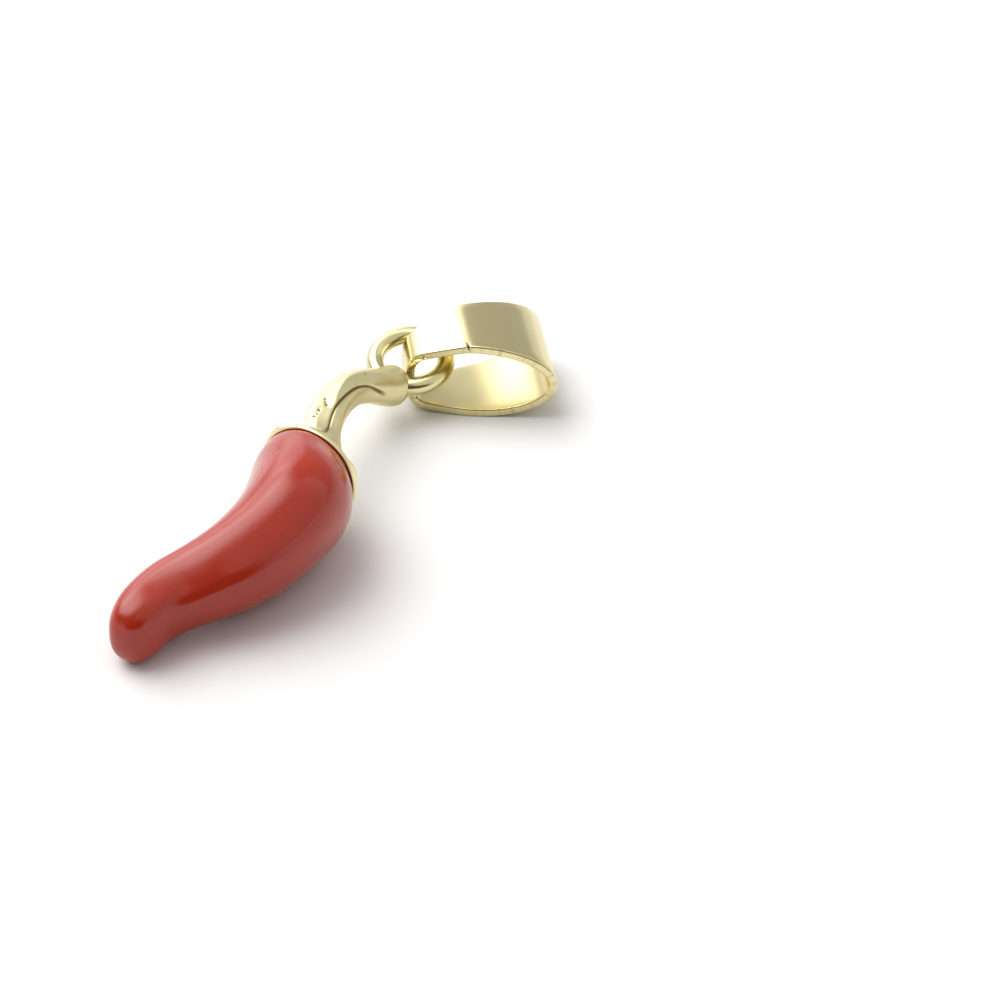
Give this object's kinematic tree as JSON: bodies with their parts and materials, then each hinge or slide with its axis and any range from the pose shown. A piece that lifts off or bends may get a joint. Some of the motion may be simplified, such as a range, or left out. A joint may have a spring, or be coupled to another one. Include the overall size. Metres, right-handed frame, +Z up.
{
  "type": "enamel chili pepper charm",
  "caption": "Small charm shaped like a red enamelled chili pepper with a gold calyx and curved stem, hung by a jump ring from a tapered bail, lying on its side.",
  "frame": {"origin": "middle of the charm's footprint on the surface it lies on", "axes": "+X runs along the charm from the pepper's tip towards the bail, +Z is up from the surface it lies on"},
  "size_m": [0.0414, 0.0134, 0.0079],
  "materials": {
    "enamel": "glossy tomato red enamel with a soft orange-peel skin",
    "gold_casting": "polished pale gold plating over a casting with fine pits",
    "gold_wire": "polished pale gold plating",
    "gold_strap": "polished pale gold plating on bent strip"
  },
  "bodies": {
    "root": {"enamel_body": "enamel", "calyx_stem": "gold_casting", "jump_ring": "gold_wire", "bail": "gold_strap"}
  },
  "joints": []
}
